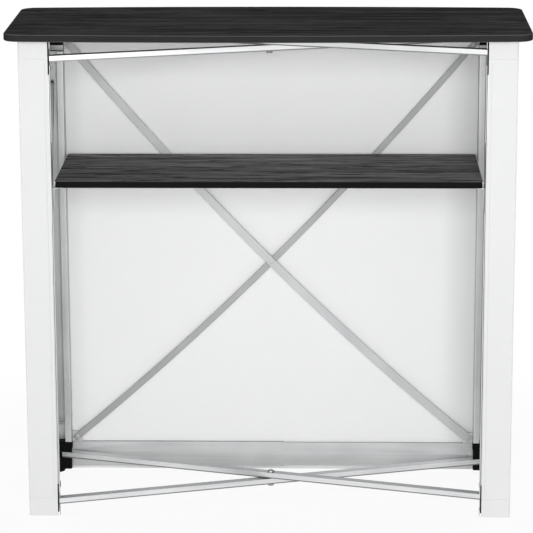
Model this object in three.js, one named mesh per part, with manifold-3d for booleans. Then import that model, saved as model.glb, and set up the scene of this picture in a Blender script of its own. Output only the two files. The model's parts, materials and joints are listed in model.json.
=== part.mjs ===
// Folding portable bar: four aluminium legs in black plastic corner hubs, scissor bars across the top
// and the bottom, crossed bars in each side and across the front, a fabric cover, a shelf and a top.
// Millimetres, +Z up, +X to the right of the person serving, +Y towards the customers.
// The origin is on the floor, under the middle of the top board.
import * as THREE from 'three';
import { mergeVertices } from 'three/addons/utils/BufferGeometryUtils.js';
import Module from 'manifold-3d';

const wasm = await Module();
wasm.setup();

// Clearances
const SEAT = 0.3; // between pieces that touch
const CLOTH_SEAT = 0.4; // between the cover and what it lies on
const PIN_PLAY = 0.3; // round a pivot pin, on the radius
const RUN = 0.6; // above and below a bar in its hub slot

// Overall
const HEIGHT = 1100;

// Top board
const TOP_LENGTH = 1140;
const TOP_DEPTH = 425;
const TOP_THICK = 16;
const TOP_CORNER = 34;
const TOP_BOW = 14; // how far each long edge swells at its middle
const TOP_EASE = 2.4;
const OVERHANG_END = 33; // from the end of the top to the outer face of a leg
const OVERHANG_FRONT = 40.5; // from the long edges to the legs
const OVERHANG_REAR = 46.5;

// Shelf
const SHELF_HEIGHT = 768; // top face above the floor
const SHELF_THICK = 15;
const SHELF_SHORT_FRONT = 1; // from the centre of the front legs to the shelf's edge
const SHELF_SHORT_REAR = 2;
const SHELF_EASE = 1.5;
const SHELF_END_PLAY = 3; // between an end trim and the leg beside it
const TRIM_WALL = 1.5;
const TRIM_LIP = 8;
const TRIM_SINK = 0.2; // lips of an end trim below the faces of the board

// Legs: extruded profile with a groove that faces the other leg of the same side
const LEG_WIDE = 64;
const LEG_DEEP = 30;
const GROOVE_WIDE = 34;
const GROOVE_DEEP = 24.5;
const LEG_WALL = 3;
const LEG_CORNER = 2.5;

// Corner hubs
const HUB_TALL = 76;
const SPIGOT_TALL = 24;
const SPIGOT_PLAY = 0.4;
const HUB_EASE = 2;
const PEG_RADIUS = 5;
const PEG_TALL = 8;
const PEG_PLAY = 0.6;
const PEG_SPARE = 9; // slot length beyond the widening of the frame

// Foot pads
const PAD_TALL = 9;
const PAD_RADIUS = 14.5;
const PAD_STUD_RADIUS = 4;
const PAD_STUD_TALL = 10;

// Scissor bars across the top and the bottom
const BAR_WIDE = 20;
const BAR_TALL = 13;
const BAR_WALL = 1.6;
const BAR_GAP = 1; // between the two bars of one cross
const BAR_END = 10; // from a pivot to the end of the bar
const BAR_LOW_Z = 24; // underside of the lower bar above the floor
const PIVOT_INSET = 21; // pivot from the leg centre towards the middle
const PIVOT_FORWARD = 6; // pivot from the leg centre towards the inside
const PIN_RADIUS = 4;
const PIN_BITE = 9; // how far a pivot pin enters the hub above and below the bar
const BOLT_RADIUS = 4;
const BOLT_HEAD_RADIUS = 8;
const BOLT_HEAD_TALL = 5;
const BOLT_SLIP = 8.2; // free travel of the centre bolt along the lower bar, each way
const BOLT_SIDE_PLAY = 1.8; // and across it

// Crossed bars in the sides
const SIDE_THICK = 8;
const SIDE_WIDE = 16;
const SIDE_GAP = 1;
const SIDE_PIVOT_Z = 120;
const SIDE_HEAD_DROP = 170; // roller below the top face
const SIDE_PIVOT_DEEP = 11; // pivot below the mouth of the groove
const SIDE_PIN_RADIUS = 3;
const SIDE_PIN_LONG = 50;
const SIDE_PIN_SLIP = 1; // round the pin in a rear leg, on the radius
const ROLLER_RADIUS = 6;
const ROLLER_LONG = 16;
const SIDE_RIVET_RADIUS = 3;
const SIDE_RIVET_HEAD = 6.5;
const SIDE_RIVET_HEAD_TALL = 2.2;

// Crossed bars across the front
const FRONT_WIDE = 18;
const FRONT_THICK = 3;
const FRONT_GAP = 0.8;
const FRONT_FORWARD = 1; // face of the nearer bar from the leg centre towards the customers
const FRONT_TOP_DROP = 80; // upper end bolt below the top face
const FRONT_LOW_RISE = 8; // lower end bolt above the foot hub
const FRONT_END_INSET = 12; // end bolt from the inner face of the leg
const FRONT_DROOP = 41; // how far the crossing hangs below a straight line
const FRONT_BOLT_RADIUS = 3;
const FRONT_BOLT_HEAD = 6;
const FRONT_BOLT_HEAD_TALL = 3;
const FRONT_STEPS = 28;
const LUG_THICK = 3.5;
const LUG_REACH = 24;

// Bottom rail behind the front cover, in two halves that slide in each other
const RAIL_TALL = 60;
const RAIL_THICK = 8;
const RAIL_WALL = 1.2;
const RAIL_LOW_Z = 11;
const RAIL_SEAM_X = 28;
const RAIL_OVERLAP = 92;
const RAIL_PLAY = 0.4;

// Shelf brackets
const BRACKET_WIDE = 15.5;
const BRACKET_REACH = 27;
const BRACKET_TALL = 46;
const BRACKET_WALL = 4;

// Cover
const CLOTH_THICK = 2;
const HEM_Z = 6;
const WRAP_WIDE = 61;

// Fold
const FOLDED_GAP = 14; // between the front and rear legs when folded

// Places worked out from the sizes
const LEG_X = TOP_LENGTH / 2 - OVERHANG_END - LEG_WIDE / 2;
const LEG_FRONT_Y = TOP_DEPTH / 2 - OVERHANG_FRONT - LEG_DEEP / 2;
const LEG_REAR_Y = -TOP_DEPTH / 2 + OVERHANG_REAR + LEG_DEEP / 2;
const LEG_INNER = LEG_X - LEG_WIDE / 2;
const LEG_OUTER = LEG_X + LEG_WIDE / 2;
const TOP_UNDER = HEIGHT - TOP_THICK;
const LEG_LOW = HUB_TALL + SEAT;
const HEAD_LOW = TOP_UNDER - SEAT - HUB_TALL;
const LEG_HIGH = HEAD_LOW - SEAT;
const PIVOT_X = LEG_X - PIVOT_INSET;
const PIVOT_FRONT_Y = LEG_FRONT_Y - PIVOT_FORWARD;
const PIVOT_REAR_Y = LEG_REAR_Y + PIVOT_FORWARD;
const BAR_RISE = BAR_TALL + BAR_GAP;
const BAR_HIGH_Z = TOP_UNDER - BAR_LOW_Z - BAR_TALL - BAR_RISE;
const CHAMBER_WIDE = (LEG_WIDE - GROOVE_WIDE) / 2 - 2 * LEG_WALL;
const CHAMBER_DEEP = LEG_DEEP - 2 * LEG_WALL;
const CHAMBER_U = (GROOVE_WIDE + LEG_WIDE) / 4;
const SIDE_RISE = HEIGHT - SIDE_HEAD_DROP - SIDE_PIVOT_Z;
const FRONT_NEAR_Y = LEG_FRONT_Y + FRONT_FORWARD;
const FRONT_TOP_Z = HEIGHT - FRONT_TOP_DROP;
const FRONT_LOW_Z = HUB_TALL + FRONT_LOW_RISE;
const FRONT_TRAVEL = LEG_FRONT_Y - LEG_REAR_Y - LEG_DEEP - FOLDED_GAP;
const PLAN_DEPTH = PIVOT_FRONT_Y - PIVOT_REAR_Y;
const PLAN_LENGTH = Math.hypot(2 * PIVOT_X, PLAN_DEPTH);
const WIDENING = Math.sqrt(PLAN_LENGTH ** 2 - (PLAN_DEPTH - FRONT_TRAVEL) ** 2) - 2 * PIVOT_X;

// Materials
function finish(color, roughness, metalness) {
  return new THREE.MeshStandardMaterial({ color, roughness, metalness });
}
const BLACK_WOOD = finish(0x1d1c1c, 0.55, 0);
const ALUMINIUM = finish(0xb4b5b8, 0.38, 0.9);
const BRIGHT_ALUMINIUM = finish(0xcfd0d2, 0.3, 0.9);
const STEEL = finish(0x8c8d90, 0.35, 0.95);
const BLACK_PLASTIC = finish(0x0e0e0f, 0.5, 0);
const RUBBER = finish(0x111111, 0.8, 0);
const WHITE_CLOTH = finish(0xf2f2f2, 0.85, 0);

// Solids: joining and cutting closed meshes
function toSolid(geometry) {
  let plain = geometry.index ? geometry.toNonIndexed() : geometry.clone();
  for (const name of Object.keys(plain.attributes)) {
    if (name !== 'position') plain.deleteAttribute(name);
  }
  plain = mergeVertices(plain, 1e-4);
  const triVerts = new Uint32Array(plain.index.array);
  const vertProperties = new Float32Array(plain.attributes.position.array);
  return new wasm.Manifold(new wasm.Mesh({ numProp: 3, vertProperties, triVerts }));
}

function toGeometry(solid) {
  const mesh = solid.getMesh();
  const geometry = new THREE.BufferGeometry();
  geometry.setAttribute('position', new THREE.BufferAttribute(new Float32Array(mesh.vertProperties), 3));
  geometry.setIndex(new THREE.BufferAttribute(new Uint32Array(mesh.triVerts), 1));
  geometry.computeVertexNormals();
  return geometry;
}

const join = (...pieces) => pieces.map(toSolid).reduce((a, b) => a.add(b));
const cut = (body, ...tools) => toGeometry(tools.map(toSolid).reduce((a, b) => a.subtract(b), toSolid(body)));
const joined = (...pieces) => toGeometry(join(...pieces));

// A box between two corners
function block(x0, x1, y0, y1, z0, z1) {
  const geometry = new THREE.BoxGeometry(Math.abs(x1 - x0), Math.abs(y1 - y0), Math.abs(z1 - z0));
  return geometry.translate((x0 + x1) / 2, (y0 + y1) / 2, (z0 + z1) / 2);
}

// A round bar along one axis, between two places on that axis
function rod(axis, radius, from, to, a, b, sides = 12) {
  const geometry = new THREE.CylinderGeometry(radius, radius, to - from, sides);
  const middle = (from + to) / 2;
  if (axis === 'x') return geometry.rotateZ(Math.PI / 2).translate(middle, a, b);
  if (axis === 'y') return geometry.translate(a, middle, b);
  return geometry.rotateX(Math.PI / 2).translate(a, b, middle);
}

// A rectangle with round corners, as a shape
function roundedShape(width, depth, radius) {
  const shape = new THREE.Shape();
  const w = width / 2;
  const d = depth / 2;
  shape.moveTo(-w + radius, -d);
  shape.lineTo(w - radius, -d);
  shape.absarc(w - radius, -d + radius, radius, -Math.PI / 2, 0);
  shape.lineTo(w, d - radius);
  shape.absarc(w - radius, d - radius, radius, 0, Math.PI / 2);
  shape.lineTo(-w + radius, d);
  shape.absarc(-w + radius, d - radius, radius, Math.PI / 2, Math.PI);
  shape.lineTo(-w, -d + radius);
  shape.absarc(-w + radius, -d + radius, radius, Math.PI, 1.5 * Math.PI);
  return shape;
}

// A slab of a shape with eased edges, standing between two heights
function slab(shape, low, high, ease, curveSegments = 3, bevelSegments = 1) {
  const depth = high - low - 2 * ease;
  const options = { depth, bevelEnabled: true, bevelThickness: ease, bevelSize: ease, bevelOffset: -ease };
  const geometry = new THREE.ExtrudeGeometry(shape, { ...options, bevelSegments, curveSegments });
  return geometry.translate(0, 0, low + ease);
}

const part = new THREE.Group();
function add(parent, name, geometry, material) {
  const mesh = new THREE.Mesh(geometry, material);
  mesh.name = name;
  parent.add(mesh);
  return mesh;
}

// The four corners. Each has its own group whose +Y is away from the other leg of its side,
// so the rear corners are turned half round. inner is the sign of local X towards the middle.
const CORNERS = [
  { name: 'front_left', side: -1, front: true, upperBar: true },
  { name: 'front_right', side: 1, front: true, upperBar: false },
  { name: 'rear_left', side: -1, front: false, upperBar: false },
  { name: 'rear_right', side: 1, front: false, upperBar: true },
];

function cornerGroup({ side, front }) {
  const group = new THREE.Group();
  group.position.set(side * LEG_X, front ? LEG_FRONT_Y : LEG_REAR_Y, 0);
  group.rotation.z = front ? 0 : Math.PI;
  part.add(group);
  return group;
}

const innerSign = ({ side, front }) => (front ? -side : side);

function legShape() {
  const w = LEG_WIDE / 2;
  const d = LEG_DEEP / 2;
  const g = GROOVE_WIDE / 2;
  const r = LEG_CORNER;
  const floor = -d + GROOVE_DEEP;
  const shape = new THREE.Shape();
  shape.moveTo(-w + r, -d);
  shape.lineTo(-g, -d);
  shape.lineTo(-g, floor);
  shape.lineTo(g, floor);
  shape.lineTo(g, -d);
  shape.lineTo(w - r, -d);
  shape.absarc(w - r, -d + r, r, -Math.PI / 2, 0);
  shape.absarc(w - r, d - r, r, 0, Math.PI / 2);
  shape.absarc(-w + r, d - r, r, Math.PI / 2, Math.PI);
  shape.absarc(-w + r, -d + r, r, Math.PI, 1.5 * Math.PI);
  for (const sign of [-1, 1]) {
    const u = sign * CHAMBER_U;
    const a = CHAMBER_WIDE / 2;
    const b = CHAMBER_DEEP / 2;
    const chamber = new THREE.Path();
    chamber.moveTo(u - a, -b);
    chamber.lineTo(u - a, b);
    chamber.lineTo(u + a, b);
    chamber.lineTo(u + a, -b);
    chamber.closePath();
    shape.holes.push(chamber);
  }
  return shape;
}

// Side pivot place in a corner's own frame
const SIDE_PIVOT_V = -LEG_DEEP / 2 + SIDE_PIVOT_DEEP;

function addLeg(group, corner) {
  const tall = LEG_HIGH - LEG_LOW;
  const tube = new THREE.ExtrudeGeometry(legShape(), { depth: tall, bevelEnabled: false, curveSegments: 3 });
  tube.translate(0, 0, LEG_LOW);
  const play = corner.front ? PIN_PLAY : SIDE_PIN_SLIP;
  const pinHole = rod('x', SIDE_PIN_RADIUS + play, -LEG_WIDE, LEG_WIDE, SIDE_PIVOT_V, SIDE_PIVOT_Z);
  add(group, `leg_${corner.name}`, cut(tube, pinHole), ALUMINIUM);
}

// Two spigots that plug into the chambers of the leg
function spigots(low, high) {
  const a = CHAMBER_WIDE / 2 - SPIGOT_PLAY;
  const b = CHAMBER_DEEP / 2 - SPIGOT_PLAY;
  return [-1, 1].map((sign) => block(sign * CHAMBER_U - a, sign * CHAMBER_U + a, -b, b, low, high));
}

// The slot in a hub where one scissor bar swings, open to the middle and to the inside
function barSlot(inner, barZ) {
  const corner = Math.hypot(BAR_END, BAR_WIDE / 2) + RUN;
  const u = inner * PIVOT_INSET;
  const back = -PIVOT_FORWARD + corner;
  return block(u - inner * corner, inner * LEG_WIDE, -LEG_DEEP, back, barZ - RUN, barZ + BAR_TALL + RUN);
}

const barLowZ = (corner, high) => (high ? BAR_HIGH_Z : BAR_LOW_Z) + (corner.upperBar ? BAR_RISE : 0);

function hubBody(corner, low, high) {
  const inner = innerSign(corner);
  const barZ = barLowZ(corner, low > HEIGHT / 2);
  const body = slab(roundedShape(LEG_WIDE, LEG_DEEP, LEG_CORNER + 1), low, high, HUB_EASE);
  const pinHole = rod(
    'z', PIN_RADIUS + PIN_PLAY,
    barZ - PIN_BITE - SEAT, barZ + BAR_TALL + PIN_BITE + SEAT,
    inner * PIVOT_INSET, -PIVOT_FORWARD,
  );
  return { inner, body, cuts: [barSlot(inner, barZ), pinHole] };
}

// Which of the two front bars ends at a front hub, and the depth of the lug behind it
function lugBack(corner, high) {
  const nearer = (corner.side < 0) === high;
  const barFace = FRONT_NEAR_Y + (nearer ? 0 : FRONT_THICK + FRONT_GAP);
  return barFace + FRONT_THICK + SEAT - LEG_FRONT_Y;
}

const FRONT_END_U = LEG_WIDE / 2 + FRONT_END_INSET;
const frontBoltHole = (u, z) => rod('y', FRONT_BOLT_RADIUS + PIN_PLAY, -LEG_DEEP, LEG_DEEP, u, z);

function addFoot(group, corner) {
  const { inner, body, cuts } = hubBody(corner, PAD_TALL, HUB_TALL);
  const pieces = [body, ...spigots(HUB_TALL - HUB_EASE, HUB_TALL + SPIGOT_TALL)];
  const studHole = rod('z', PAD_STUD_RADIUS + PIN_PLAY, 0, PAD_TALL + PAD_STUD_TALL + SEAT, 0, 0);
  cuts.push(studHole);
  if (corner.front) {
    const v = lugBack(corner, false);
    const reach = inner * (LEG_WIDE / 2 + LUG_REACH);
    const face = inner * (LEG_WIDE / 2 + SEAT);
    const root = inner * (LEG_WIDE / 2 - LUG_THICK);
    const lugLow = RAIL_LOW_Z + RAIL_TALL + SEAT;
    pieces.push(block(root, reach, v, v + LUG_THICK, lugLow, HUB_TALL - HUB_EASE));
    pieces.push(block(face, reach, v, v + LUG_THICK, lugLow, FRONT_LOW_Z + FRONT_END_INSET));
    cuts.push(frontBoltHole(inner * FRONT_END_U, FRONT_LOW_Z));
  }
  add(group, `foot_hub_${corner.name}`, cut(joined(...pieces), ...cuts), BLACK_PLASTIC);
}

function addHead(group, corner) {
  const high = TOP_UNDER - SEAT;
  const { inner, body, cuts } = hubBody(corner, HEAD_LOW, high);
  const pieces = [body, ...spigots(HEAD_LOW - SPIGOT_TALL, HEAD_LOW + HUB_EASE)];
  if (corner.front) {
    const v = lugBack(corner, true);
    const reach = inner * (LEG_WIDE / 2 + LUG_REACH);
    const root = inner * (LEG_WIDE / 2 - LUG_THICK);
    const low = Math.max(HEAD_LOW + HUB_EASE, FRONT_TOP_Z - FRONT_END_INSET);
    pieces.push(block(root, reach, v, v + LUG_THICK, low, FRONT_TOP_Z + FRONT_END_INSET));
    pieces.push(rod('z', PEG_RADIUS, high - HUB_EASE, high + PEG_TALL, 0, 0));
    cuts.push(frontBoltHole(inner * FRONT_END_U, FRONT_TOP_Z));
  }
  add(group, `head_hub_${corner.name}`, cut(joined(...pieces), ...cuts), BLACK_PLASTIC);
}

function addPad(group, corner) {
  const r = PAD_RADIUS;
  const studTop = PAD_TALL + PAD_STUD_TALL;
  const points = [
    [0, 0], [r - 5, 0], [r - 2, 1], [r, 4], [r, PAD_TALL - SEAT],
    [PAD_STUD_RADIUS, PAD_TALL - SEAT], [PAD_STUD_RADIUS, studTop], [0, studTop],
  ].map(([x, y]) => new THREE.Vector2(x, y));
  add(group, `foot_pad_${corner.name}`, new THREE.LatheGeometry(points, 16).rotateX(Math.PI / 2), RUBBER);
}

// Pivot pins of one corner: one for the scissor bar below and one for the bar above
function addPins(group, corner) {
  const inner = innerSign(corner);
  for (const high of [false, true]) {
    const barZ = barLowZ(corner, high);
    const ends = [barZ - PIN_BITE, barZ + BAR_TALL + PIN_BITE];
    const pin = rod('z', PIN_RADIUS, ...ends, inner * PIVOT_INSET, -PIVOT_FORWARD);
    add(group, `${high ? 'top' : 'bottom'}_pin_${corner.name}`, pin, STEEL);
  }
}

// Bracket that carries one corner of the shelf: a plate on the leg, a ledge and a rib
function addBracket(group, corner) {
  const inner = innerSign(corner);
  const face = inner * (LEG_WIDE / 2 + SEAT);
  const reach = inner * (LEG_WIDE / 2 + BRACKET_REACH);
  const top = SHELF_HEIGHT - SHELF_THICK - SEAT;
  const v0 = -LEG_DEEP / 2 + 0.5;
  const v1 = v0 + BRACKET_WIDE;
  const rib = new THREE.Shape();
  rib.moveTo(0, 0);
  rib.lineTo(BRACKET_REACH - BRACKET_WALL, 0);
  rib.lineTo(0, -(BRACKET_TALL - 2 * BRACKET_WALL));
  rib.closePath();
  const web = new THREE.ExtrudeGeometry(rib, { depth: BRACKET_WALL, bevelEnabled: false });
  web.rotateX(Math.PI / 2);
  if (inner < 0) web.rotateZ(Math.PI);
  else web.translate(0, BRACKET_WALL, 0);
  web.translate(face + inner, (v0 + v1 - BRACKET_WALL) / 2, top - BRACKET_WALL + 1);
  const plate = block(face, face + inner * BRACKET_WALL, v0, v1, top - BRACKET_TALL, top);
  const ledge = block(face, reach, v0, v1, top - BRACKET_WALL, top);
  add(group, `shelf_bracket_${corner.name}`, joined(plate, ledge, web), BLACK_PLASTIC);
}

// Cover strip that goes round the rear face of a rear leg
function addWrap(group, corner) {
  const inner = innerSign(corner);
  const v = LEG_DEEP / 2 + CLOTH_SEAT;
  const outer = -inner * (LEG_WIDE / 2);
  const strip = block(outer, outer + inner * WRAP_WIDE, v, v + CLOTH_THICK, HEM_Z, TOP_UNDER - 2 * SEAT);
  add(group, `cover_wrap_${corner.name}`, strip, WHITE_CLOTH);
}

for (const corner of CORNERS) {
  const group = cornerGroup(corner);
  addLeg(group, corner);
  addFoot(group, corner);
  addHead(group, corner);
  addPad(group, corner);
  addPins(group, corner);
  addBracket(group, corner);
  if (!corner.front) addWrap(group, corner);
}

// Scissor bars: a rectangular tube from a front pivot to the opposite rear pivot.
// The upper bar runs from front left to rear right and carries the centre bolt.
function scissorBar(upper) {
  const half = PLAN_LENGTH / 2 + BAR_END;
  const ring = new THREE.Shape();
  const w = BAR_WIDE / 2;
  const t = BAR_TALL;
  ring.moveTo(-w, 0).lineTo(w, 0).lineTo(w, t).lineTo(-w, t).closePath();
  const hole = new THREE.Path();
  const k = BAR_WALL;
  hole.moveTo(-w + k, k).lineTo(-w + k, t - k).lineTo(w - k, t - k).lineTo(w - k, k).closePath();
  ring.holes.push(hole);
  const tube = new THREE.ExtrudeGeometry(ring, { depth: 2 * half, bevelEnabled: false });
  tube.translate(0, 0, -half).rotateX(Math.PI / 2).rotateZ(Math.PI / 2);
  const above = 2 * BAR_TALL;
  const pinPlaces = [-PLAN_LENGTH / 2, PLAN_LENGTH / 2];
  const tools = pinPlaces.map((place) => rod('z', PIN_RADIUS + PIN_PLAY, -above, above, place, 0));
  const bolt = BOLT_RADIUS + (upper ? PIN_PLAY : BOLT_SIDE_PLAY);
  const slip = upper ? 0 : BOLT_SLIP;
  tools.push(rod('z', bolt, -above, above, -slip, 0));
  if (!upper) {
    tools.push(rod('z', bolt, -above, above, slip, 0));
    tools.push(block(-slip, slip, -bolt, bolt, -above, above));
  }
  return cut(tube, ...tools);
}

function addCross(level, lowZ) {
  const lean = Math.atan2(PLAN_DEPTH, 2 * PIVOT_X);
  const middleY = (PIVOT_FRONT_Y + PIVOT_REAR_Y) / 2;
  for (const upper of [true, false]) {
    const bar = add(part, `${level}_bar_${upper ? 'upper' : 'lower'}`, scissorBar(upper), BRIGHT_ALUMINIUM);
    bar.position.set(0, middleY, lowZ + (upper ? BAR_RISE : 0));
    bar.rotation.z = upper ? -lean : lean;
  }
  const low = lowZ - SEAT;
  const high = lowZ + BAR_RISE + BAR_TALL + SEAT;
  const bolt = joined(
    rod('z', BOLT_RADIUS, low - BOLT_HEAD_TALL + 1, high + 1, 0, middleY),
    rod('z', BOLT_HEAD_RADIUS, high, high + BOLT_HEAD_TALL - 1, 0, middleY),
    rod('z', BOLT_HEAD_RADIUS, low - BOLT_HEAD_TALL, low, 0, middleY, 6),
  );
  add(part, `${level}_centre_bolt`, bolt, STEEL);
}
addCross('bottom', BAR_LOW_Z);
addCross('top', BAR_HIGH_Z);

// Side bars: pinned low in one leg, with a roller in the groove of the other leg
const SIDE_FRONT_Y = LEG_FRONT_Y + SIDE_PIVOT_V;
const SIDE_REAR_Y = LEG_REAR_Y - SIDE_PIVOT_V;
const SIDE_SPAN = SIDE_FRONT_Y - SIDE_REAR_Y;
const SIDE_LENGTH = Math.hypot(SIDE_SPAN, SIDE_RISE);
const SIDE_LEAN = Math.atan2(SIDE_SPAN, SIDE_RISE);

// A flat bar with round ends, from its pivot at the origin up along +Z, middle of its thickness at X = 0.
// A cross pin at its foot turns in the leg, and a thicker one at its head runs in the other leg's groove.
function sideBar(offset) {
  const r = SIDE_WIDE / 2;
  const outline = new THREE.Shape();
  outline.absarc(0, 0, r, Math.PI, 2 * Math.PI);
  outline.absarc(0, SIDE_LENGTH, r, 0, Math.PI);
  const options = { depth: SIDE_THICK, bevelEnabled: false, curveSegments: 10 };
  const bar = new THREE.ExtrudeGeometry(outline, options);
  bar.translate(0, 0, -SIDE_THICK / 2).rotateX(Math.PI / 2).rotateZ(Math.PI / 2);
  const rivet = SIDE_RIVET_RADIUS + PIN_PLAY;
  const pinHalf = SIDE_PIN_LONG / 2;
  const pin = rod('x', SIDE_PIN_RADIUS, -pinHalf - offset, pinHalf - offset, 0, 0);
  const roller = rod('x', ROLLER_RADIUS, -ROLLER_LONG / 2 - offset, ROLLER_LONG / 2 - offset, 0, SIDE_LENGTH);
  return cut(joined(bar, pin, roller), rod('x', rivet, -SIDE_THICK, SIDE_THICK, 0, SIDE_LENGTH / 2));
}

for (const [sideName, side] of [['left', -1], ['right', 1]]) {
  for (const second of [false, true]) {
    const group = new THREE.Group();
    const offset = (second ? 1 : -1) * (SIDE_THICK + SIDE_GAP) / 2;
    group.position.set(side * LEG_X + offset, second ? SIDE_REAR_Y : SIDE_FRONT_Y, SIDE_PIVOT_Z);
    group.rotation.x = second ? -SIDE_LEAN : SIDE_LEAN;
    part.add(group);
    const foot = second ? 'rear' : 'front';
    add(group, `side_bar_${sideName}_${foot}`, sideBar(offset), ALUMINIUM);
    if (!second) {
      const face = SIDE_THICK / 2 + SEAT;
      const far = face + SIDE_THICK + SIDE_GAP;
      const z = SIDE_LENGTH / 2;
      const rivet = joined(
        rod('x', SIDE_RIVET_RADIUS, -face - 1, far + 1, 0, z),
        rod('x', SIDE_RIVET_HEAD, far, far + SIDE_RIVET_HEAD_TALL, 0, z),
        rod('x', SIDE_RIVET_HEAD, -face - SIDE_RIVET_HEAD_TALL, -face, 0, z),
      );
      add(group, `side_rivet_${sideName}`, rivet, STEEL);
    }
  }
}

// Front bars: flat strips that hang in a shallow curve from a top hub to the opposite foot hub
const FRONT_END_X = LEG_INNER - FRONT_END_INSET;

function frontLine(t) {
  const x = FRONT_END_X * (2 * t - 1);
  const z = FRONT_TOP_Z + (FRONT_LOW_Z - FRONT_TOP_Z) * t - 4 * FRONT_DROOP * t * (1 - t);
  return new THREE.Vector2(x, z);
}

function frontBar(side) {
  const r = FRONT_WIDE / 2;
  const middles = Array.from({ length: FRONT_STEPS + 1 }, (_, i) => frontLine(i / FRONT_STEPS));
  const normals = middles.map((_, i) => {
    const ahead = middles[Math.min(i + 1, FRONT_STEPS)].clone().sub(middles[Math.max(i - 1, 0)]).normalize();
    return new THREE.Vector2(-ahead.y, ahead.x);
  });
  const edge = (sign) => middles.map((p, i) => p.clone().addScaledVector(normals[i], sign * r));
  const cap = (i, sign) => Array.from({ length: 7 }, (_, k) => {
    const turned = normals[i].clone().rotateAround(new THREE.Vector2(), (k + 1) * Math.PI / 8);
    return middles[i].clone().addScaledVector(turned, r * sign);
  });
  const outline = [...edge(1).reverse(), ...cap(0, 1), ...edge(-1), ...cap(FRONT_STEPS, -1)];
  const shape = new THREE.Shape(outline.map((p) => new THREE.Vector2(side * p.x, p.y)));
  const bar = new THREE.ExtrudeGeometry(shape, { depth: FRONT_THICK, bevelEnabled: false });
  bar.rotateX(Math.PI / 2);
  const face = FRONT_NEAR_Y + (side > 0 ? 0 : FRONT_THICK + FRONT_GAP);
  bar.translate(0, face + FRONT_THICK, 0);
  const hole = (t) => {
    const p = frontLine(t);
    return rod('y', FRONT_BOLT_RADIUS + PIN_PLAY, 0, TOP_DEPTH, side * p.x, p.y);
  };
  return cut(bar, hole(0), hole(0.5), hole(1));
}

add(part, 'front_bar_from_left', frontBar(1), BRIGHT_ALUMINIUM);
add(part, 'front_bar_from_right', frontBar(-1), BRIGHT_ALUMINIUM);

// A bolt through a front bar and what is behind it, with a flat head on both ends
function frontBolt(x, z, face, back) {
  const head = FRONT_BOLT_HEAD_TALL;
  return joined(
    rod('y', FRONT_BOLT_RADIUS, face - SEAT - 1, back + SEAT + 1, x, z),
    rod('y', FRONT_BOLT_HEAD, face - SEAT - head, face - SEAT, x, z),
    rod('y', FRONT_BOLT_HEAD, back + SEAT, back + SEAT + head / 2, x, z),
  );
}

const middle = frontLine(0.5);
const rivetBack = FRONT_NEAR_Y + 2 * FRONT_THICK + FRONT_GAP;
add(part, 'front_rivet', frontBolt(middle.x, middle.y, FRONT_NEAR_Y, rivetBack), STEEL);
for (const corner of CORNERS.filter(({ front }) => front)) {
  for (const high of [false, true]) {
    const back = LEG_FRONT_Y + lugBack(corner, high) + LUG_THICK;
    const face = back - LUG_THICK - SEAT - FRONT_THICK;
    const bolt = frontBolt(corner.side * FRONT_END_X, high ? FRONT_TOP_Z : FRONT_LOW_Z, face, back);
    add(part, `${high ? 'top' : 'bottom'}_bolt_${corner.name}`, bolt, STEEL);
  }
}

// Bottom rail: the left half is the outer tube, the right half slides inside it
function railTube(x0, x1, inset) {
  const y1 = LEG_FRONT_Y + LEG_DEEP / 2 - SEAT - inset;
  const y0 = y1 - RAIL_THICK + 2 * inset;
  const z0 = RAIL_LOW_Z + inset;
  const z1 = RAIL_LOW_Z + RAIL_TALL - inset;
  const k = RAIL_WALL;
  return cut(block(x0, x1, y0, y1, z0, z1), block(x0 - 1, x1 + 1, y0 + k, y1 - k, z0 + k, z1 - k));
}
const RAIL_END = LEG_INNER - SEAT;
add(part, 'bottom_rail_left', railTube(-RAIL_END, RAIL_SEAM_X, 0), ALUMINIUM);
const innerRail = railTube(RAIL_SEAM_X - RAIL_OVERLAP, RAIL_END, RAIL_WALL + RAIL_PLAY);
add(part, 'bottom_rail_right', innerRail, ALUMINIUM);

// Cover: one panel across the front and one on each side
const COVER_TOP = TOP_UNDER - 2 * SEAT;
const COVER_FRONT_Y = LEG_FRONT_Y + LEG_DEEP / 2 + CLOTH_SEAT;
const COVER_SIDE_X = LEG_OUTER + CLOTH_SEAT;
const COVER_REAR_Y = LEG_REAR_Y - LEG_DEEP / 2 - CLOTH_SEAT - CLOTH_THICK;
add(
  part, 'cover_front',
  block(-LEG_OUTER, LEG_OUTER, COVER_FRONT_Y, COVER_FRONT_Y + CLOTH_THICK, HEM_Z, COVER_TOP), WHITE_CLOTH,
);
for (const [sideName, side] of [['left', -1], ['right', 1]]) {
  const x = side * COVER_SIDE_X;
  const panel = block(x, x + side * CLOTH_THICK, COVER_REAR_Y, COVER_FRONT_Y + CLOTH_THICK, HEM_Z, COVER_TOP);
  add(part, `cover_side_${sideName}`, panel, WHITE_CLOTH);
}

// Shelf: a board with an aluminium channel on each end, whose lips lie in rebates of the board
const SHELF_HALF = LEG_INNER - SHELF_END_PLAY;
const SHELF_Y0 = LEG_REAR_Y + SHELF_SHORT_REAR;
const SHELF_Y1 = LEG_FRONT_Y - SHELF_SHORT_FRONT;
const SHELF_LOW = SHELF_HEIGHT - SHELF_THICK;
const BOARD_HALF = SHELF_HALF - TRIM_WALL - SEAT;
const TRIM_REACH = SHELF_HALF - TRIM_WALL - TRIM_LIP;
const REBATE = TRIM_SINK + TRIM_WALL + SEAT;
const shelfShape = roundedShape(2 * BOARD_HALF, SHELF_Y1 - SHELF_Y0, 2 * SHELF_EASE);
const shelf = slab(shelfShape, SHELF_LOW, SHELF_HEIGHT, SHELF_EASE, 3);
shelf.translate(0, (SHELF_Y0 + SHELF_Y1) / 2, 0);
function rebate(side, low, high) {
  return block(side * (TRIM_REACH - SEAT), side * SHELF_HALF, SHELF_Y0 - 1, SHELF_Y1 + 1, low, high);
}
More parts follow.
